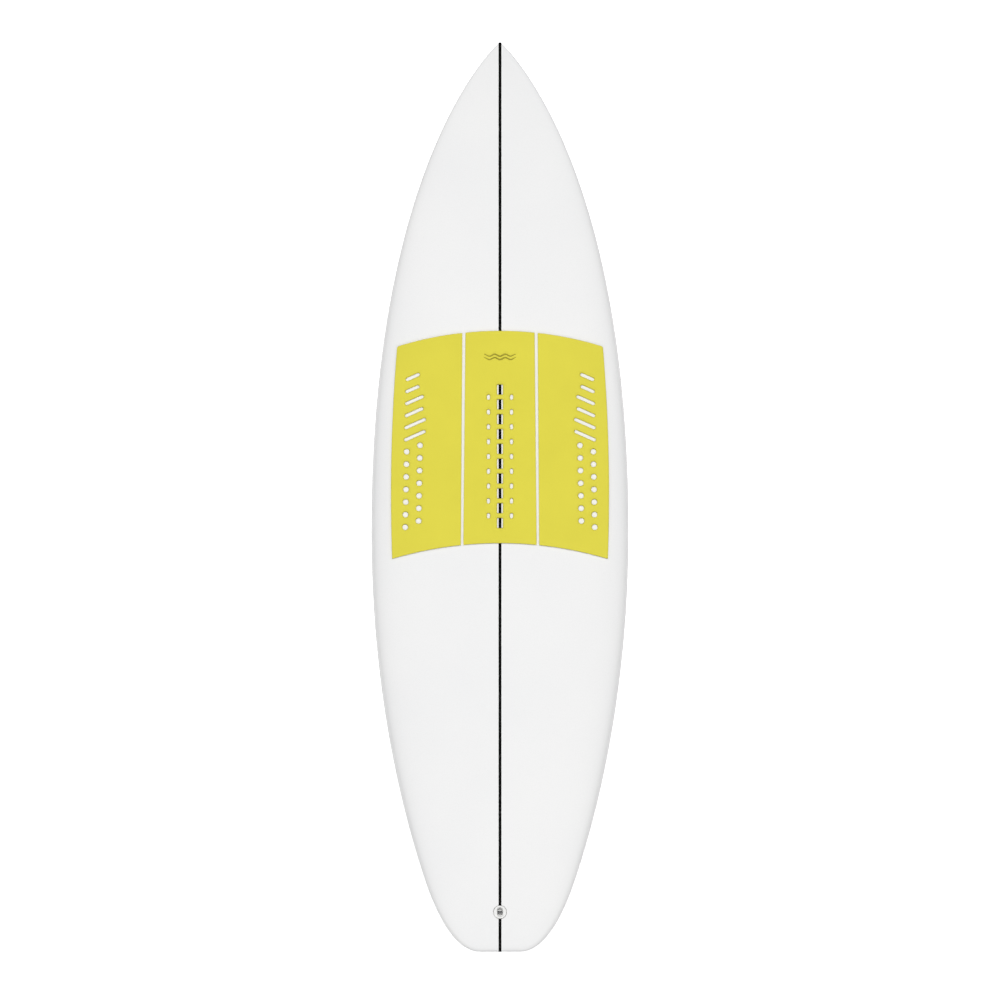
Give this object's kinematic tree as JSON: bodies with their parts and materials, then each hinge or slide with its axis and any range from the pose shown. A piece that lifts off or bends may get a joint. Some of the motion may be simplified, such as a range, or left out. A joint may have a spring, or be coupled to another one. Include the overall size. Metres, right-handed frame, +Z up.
{
  "type": "surfboard",
  "caption": "White shortboard surfboard with a pointed nose, squash tail, yellow front traction pad, leash plug and removable fins.",
  "frame": {"origin": "middle of the board's length and width, at the height of the side fins' tips, the lowest points when the board lies level", "axes": "+Y towards the nose along the stringer, +X to the starboard rail, +Z up through the deck"},
  "size_m": [0.4886, 1.727, 0.2229],
  "materials": {
    "foam": "bare polyurethane foam under the glass",
    "stringer": "black stained",
    "glass_white": "polished white resin over glass cloth",
    "pad": "matt closed-cell EVA foam",
    "plug": "smooth moulded plastic",
    "steel": "stainless",
    "steel_dark": "darkened stainless",
    "fin": "smooth moulded composite"
  },
  "bodies": {
    "board": {"blank_port": "foam", "blank_starboard": "foam", "stringer": "stringer", "deck_laminate": "glass_white", "bottom_laminate": "glass_white", "pad_port": "pad", "pad_center": "pad", "pad_starboard": "pad", "leash_cup": "plug", "leash_pin": "steel_dark", "fin_box_port": "plug", "fin_box_center": "plug", "fin_box_starboard": "plug"},
    "port_fin": {"fin_port": "fin"},
    "center_fin": {"fin_center": "fin"},
    "starboard_fin": {"fin_starboard": "fin"},
    "port_front_screw": {"grub_screw_port_front": "steel"},
    "port_rear_screw": {"grub_screw_port_rear": "steel"},
    "center_front_screw": {"grub_screw_center_front": "steel"},
    "center_rear_screw": {"grub_screw_center_rear": "steel"},
    "starboard_front_screw": {"grub_screw_starboard_front": "steel"},
    "starboard_rear_screw": {"grub_screw_starboard_rear": "steel"}
  },
  "joints": [
    {"name": "port_fin_slide", "type": "slide", "parent": "board", "child": "port_fin", "axis": [0, -0.0845, -0.9964], "range_m": [0, 0.03]},
    {"name": "center_fin_slide", "type": "slide", "parent": "board", "child": "center_fin", "axis": [0, -0.1182, -0.993], "range_m": [0, 0.03]},
    {"name": "starboard_fin_slide", "type": "slide", "parent": "board", "child": "starboard_fin", "axis": [0, -0.0845, -0.9964], "range_m": [0, 0.03]},
    {"name": "port_front_screw_turn", "type": "hinge", "parent": "board", "child": "port_front_screw", "pos_m": [-0.14953, -0.49718, 0.10841], "axis": [0.4998, -0.0871, -0.8617], "range_deg": [0, 720]},
    {"name": "port_rear_screw_turn", "type": "hinge", "parent": "board", "child": "port_rear_screw", "pos_m": [-0.15132, -0.56093, 0.11381], "axis": [0.4998, -0.0871, -0.8617], "range_deg": [0, 720]},
    {"name": "center_front_screw_turn", "type": "hinge", "parent": "board", "child": "center_front_screw", "pos_m": [-0.008, -0.67799, 0.12575], "axis": [-0.5, -0.1024, -0.86], "range_deg": [0, 720]},
    {"name": "center_rear_screw_turn", "type": "hinge", "parent": "board", "child": "center_rear_screw", "pos_m": [-0.008, -0.74154, 0.13332], "axis": [-0.5, -0.1024, -0.86], "range_deg": [0, 720]},
    {"name": "starboard_front_screw_turn", "type": "hinge", "parent": "board", "child": "starboard_front_screw", "pos_m": [0.14953, -0.49718, 0.10841], "axis": [-0.4998, -0.0871, -0.8617], "range_deg": [0, 720]},
    {"name": "starboard_rear_screw_turn", "type": "hinge", "parent": "board", "child": "starboard_rear_screw", "pos_m": [0.15132, -0.56093, 0.11381], "axis": [-0.4998, -0.0871, -0.8617], "range_deg": [0, 720]}
  ]
}
